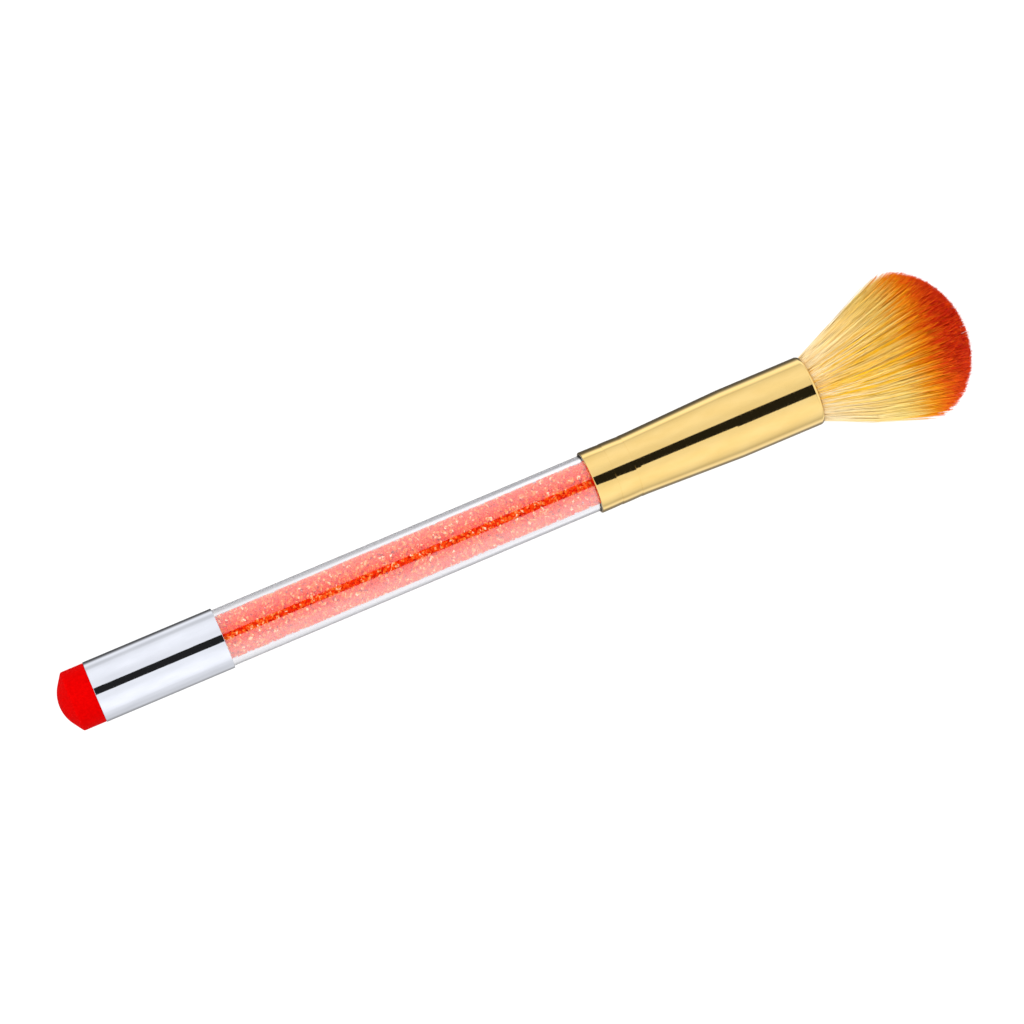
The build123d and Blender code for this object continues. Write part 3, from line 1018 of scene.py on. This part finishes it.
def makeFloor(p):
    mesh = bpy.data.meshes.new("floor")
    half, z = p["floorHalf"], floorHeight - p["floorDropMm"] * mm
    corners = [(-half, -half, z), (half, -half, z), (half, half, z), (-half, half, z)]
    mesh.from_pydata(corners, [], [(0, 1, 2, 3)])
    floor = bpy.data.objects.new("floor", mesh)
    bpy.context.scene.collection.objects.link(floor)
    material, add = newMaterial("paleStudioFloor")
    matte = add("ShaderNodeBsdfDiffuse", {"Color": srgb(p["floorColour"])})
    # Painted shade and painted reflection, seen only in metal and through glass: metal mirrors a
    # painted dark zone close by that stands in for the brush's shadow, a bright sheet beside it and
    # duller table further out. The tube's wall shows the same painted dark zone, and the eye and
    # matt pieces get a white table.
    path = add("ShaderNodeLightPath").outputs
    spot = add("ShaderNodeTexCoord")
    parts = add("ShaderNodeSeparateXYZ", {0: spot.outputs["Object"]}).outputs
    forward = add(
        "ShaderNodeMapRange",
        {"Value": parts["X"], "From Min": p["sheetTail"], "From Max": p["sheetMouth"]},
    )
    reach = p["sheetReach"]
    share = add("ShaderNodeMapRange", {"Value": parts["Y"], "From Min": -reach, "From Max": reach})
    ramps = []
    for stops in (p["tailPaintedMirrorMm"], p["mouthPaintedMirrorMm"], p["throughTubePaintedShadeMm"]):
        ramps.append(add("ShaderNodeValToRGB", {"Fac": share}))
        setRamp(ramps[-1], [((place * mm + reach) / (2 * reach), level) for place, level in stops])
    paintedMirror = add("ShaderNodeMix", {"Factor": forward, "A": ramps[0], "B": ramps[1]})
    mirroredRay = add("ShaderNodeMath", {0: path["Glossy Depth"], 1: 1.0}, operation="MINIMUM")
    bentRay = add("ShaderNodeMath", {0: path["Transmission Depth"], 1: 1.0}, operation="MINIMUM")
    either = add("ShaderNodeMath", {0: mirroredRay, 1: bentRay}, operation="MAXIMUM")
    unscattered = add(
        "ShaderNodeMath", {0: 1.0, 1: path["Diffuse Depth"]}, operation="SUBTRACT", use_clamp=True
    )
    special = add("ShaderNodeMath", {0: either, 1: unscattered}, operation="MULTIPLY")
    shown = add("ShaderNodeMix", {"Factor": path["Is Transmission Ray"], "A": paintedMirror, "B": ramps[2]})
    paintedMirrorGlow = add("ShaderNodeEmission", {"Strength": shown})
    unseen = add("ShaderNodeMath", {0: 1.0, 1: path["Is Camera Ray"]}, operation="SUBTRACT")
    bounce = add("ShaderNodeMath", {0: unseen, 1: p["floorBounce"]}, operation="MULTIPLY")
    lift = add(
        "ShaderNodeMath",
        {0: path["Is Camera Ray"], 1: p["floorLift"], 2: bounce},
        operation="MULTIPLY_ADD",
    )
    tableGlow = add("ShaderNodeEmission", {"Strength": lift})
    table = add("ShaderNodeAddShader", {0: matte, 1: tableGlow})
    both = add("ShaderNodeMixShader", {0: special, 1: table, 2: paintedMirrorGlow})
    add("ShaderNodeOutputMaterial", {"Surface": both})
    material.cycles.emission_sampling = "NONE"
    mesh.materials.append(material)


def makeWorld(p):
    # White for the eye and for glass. Metal mirrors two wide softboxes with a dark gap
    # straight above between them, a little wider towards the hair.
    world = bpy.data.worlds.new("studio")
    world.use_nodes = True
    world.node_tree.nodes.clear()
    add = partial(addNode, world.node_tree)
    path = add("ShaderNodeLightPath").outputs
    ray = add("ShaderNodeTexCoord")
    parts = add("ShaderNodeSeparateXYZ", {0: ray.outputs["Generated"]}).outputs
    beforeBend = add("ShaderNodeMath", {0: parts["X"], 1: p["gapBend"]}, operation="MINIMUM")
    afterBend = add(
        "ShaderNodeMath", {0: parts["X"], 1: p["gapBend"]}, operation="SUBTRACT", use_clamp=True
    )
    turned = add(
        "ShaderNodeMath", {0: beforeBend, 1: p["gapTurn"], 2: parts["Y"]}, operation="MULTIPLY_ADD"
    )
    moved = add("ShaderNodeMath", {0: turned, 1: p["gapShift"]}, operation="ADD")
    aside = add("ShaderNodeMath", {0: moved}, operation="ABSOLUTE")
    straightWidth = add(
        "ShaderNodeMath",
        {0: parts["X"], 1: p["gapWidening"], 2: p["gapSine"] - p["gapRound"]},
        operation="MULTIPLY_ADD",
    )
    width = add(
        "ShaderNodeMath",
        {0: afterBend, 1: p["gapFlare"], 2: straightWidth},
        operation="MULTIPLY_ADD",
    )
    # distances from a rectangle a little smaller than the gap give it round corners
    past = add("ShaderNodeMath", {0: aside, 1: width}, operation="SUBTRACT")
    ends = add("ShaderNodeMath", {0: parts["X"]}, operation="ABSOLUTE")
    beyond = add(
        "ShaderNodeMath", {0: ends, 1: p["gapLength"] - p["gapRound"]}, operation="SUBTRACT"
    )
    corner = add("ShaderNodeCombineXYZ", {"X": past, "Y": beyond})
    positive = add("ShaderNodeVectorMath", {0: corner, 1: (0, 0, 0)}, operation="MAXIMUM")
    away = add("ShaderNodeVectorMath", {0: positive}, operation="LENGTH")
    outside = add("ShaderNodeMath", {0: away, 1: p["gapRound"]}, operation="SUBTRACT")
    lit = add(
        "ShaderNodeMapRange",
        {
            "Value": outside, "From Min": -p["gapSoft"], "From Max": p["gapSoft"],
            "To Min": p["gapLevel"],
        },
    )
    side = add(
        "ShaderNodeMapRange",
        {
            "Value": parts["Y"], "From Min": -p["levelSine"], "From Max": p["levelSine"],
            "To Min": p["frontLevel"], "To Max": p["backLevel"],
        },
    )
    falloff = add("ShaderNodeValToRGB", {"Fac": parts["Z"]})
    setRamp(falloff, p["softboxFalloff"])
    level = add("ShaderNodeMath", {0: side, 1: falloff}, operation="MULTIPLY")
    mirrored = add("ShaderNodeMath", {0: lit, 1: level}, operation="MULTIPLY")
    unmirrored, unscattered = [
        add("ShaderNodeMath", {0: 1.0, 1: path[depth]}, operation="SUBTRACT", use_clamp=True)
        for depth in ("Glossy Depth", "Diffuse Depth")
    ]
    straightThrough = add(
        "ShaderNodeMath", {0: path["Is Transmission Ray"], 1: unmirrored}, operation="MULTIPLY"
    )
    seenThrough = add("ShaderNodeMath", {0: straightThrough, 1: unscattered}, operation="MULTIPLY")
    seen = add("ShaderNodeMath", {0: path["Is Camera Ray"], 1: seenThrough}, operation="MAXIMUM")
    notDiffuse = add(
        "ShaderNodeMath",
        {0: path["Is Glossy Ray"], 1: path["Is Transmission Ray"]},
        operation="MAXIMUM",
    )
    forMetal = add("ShaderNodeMix", {"Factor": notDiffuse, "A": p["fillLevel"], "B": mirrored})
    forEye = add("ShaderNodeMix", {"Factor": seen, "A": forMetal, "B": 1.0})
    sky = add("ShaderNodeBackground", {"Color": (1.0, 1.0, 1.0, 1.0), "Strength": forEye})
    add("ShaderNodeOutputWorld", {"Surface": sky})
    bpy.context.scene.world = world


def makeLamps(p):
    middle = (Vector(cadBox[0]) + Vector(cadBox[1])) / 2
    for name, (size, place, power) in p["lamps"].items():
        data = bpy.data.lights.new(name, "AREA")
        data.shape = "SQUARE"
        data.size = size
        data.energy = power
        lamp = bpy.data.objects.new(name, data)
        lamp.location = middle + Vector(place)
        lamp.rotation_euler = (middle - lamp.location).to_track_quat("-Z", "Y").to_euler()
        lamp.visible_glossy = False
        lamp.visible_transmission = False
        lamp.visible_camera = False
        bpy.context.scene.collection.objects.link(lamp)


# The photograph is taken from above, a little from the tail, with the brush rising to the right.
photoView = {
    "distance": 0.62,
    "towardTail": 6.5,
    "roll": 22.9,
    "aimAlong": 82.2,
    "aimAcross": 0.60,
    "lens": 129.5,
    "sensor": 36.0,
}


def makeCamera(p):
    lean, roll = math.radians(p["towardTail"]), math.radians(p["roll"])
    back = aboveBrush * math.cos(lean) - alongBrush * math.sin(lean)
    lineOnView = (alongBrush - back * alongBrush.dot(back)).normalized()
    acrossOnView = back.cross(lineOnView)
    right = lineOnView * math.cos(roll) - acrossOnView * math.sin(roll)
    up = lineOnView * math.sin(roll) + acrossOnView * math.cos(roll)
    aim = brushToWorld @ Vector((p["aimAlong"], 0, 0)) + Vector((0, p["aimAcross"] * mm, 0))
    data = bpy.data.cameras.new("photoView")
    data.lens = p["lens"]
    data.sensor_width = p["sensor"]
    data.sensor_fit = "HORIZONTAL"
    camera = bpy.data.objects.new("photoView", data)
    turned = Matrix((right, up, back)).transposed().to_4x4()
    camera.matrix_world = Matrix.Translation(aim + back * p["distance"]) @ turned
    bpy.context.scene.collection.objects.link(camera)
    bpy.context.scene.camera = camera


makeFloor(studio)
makeWorld(studio)
makeLamps(studio)
makeCamera(photoView)
bpy.context.scene.view_settings.view_transform = "Standard"
print("floor, light and camera set")
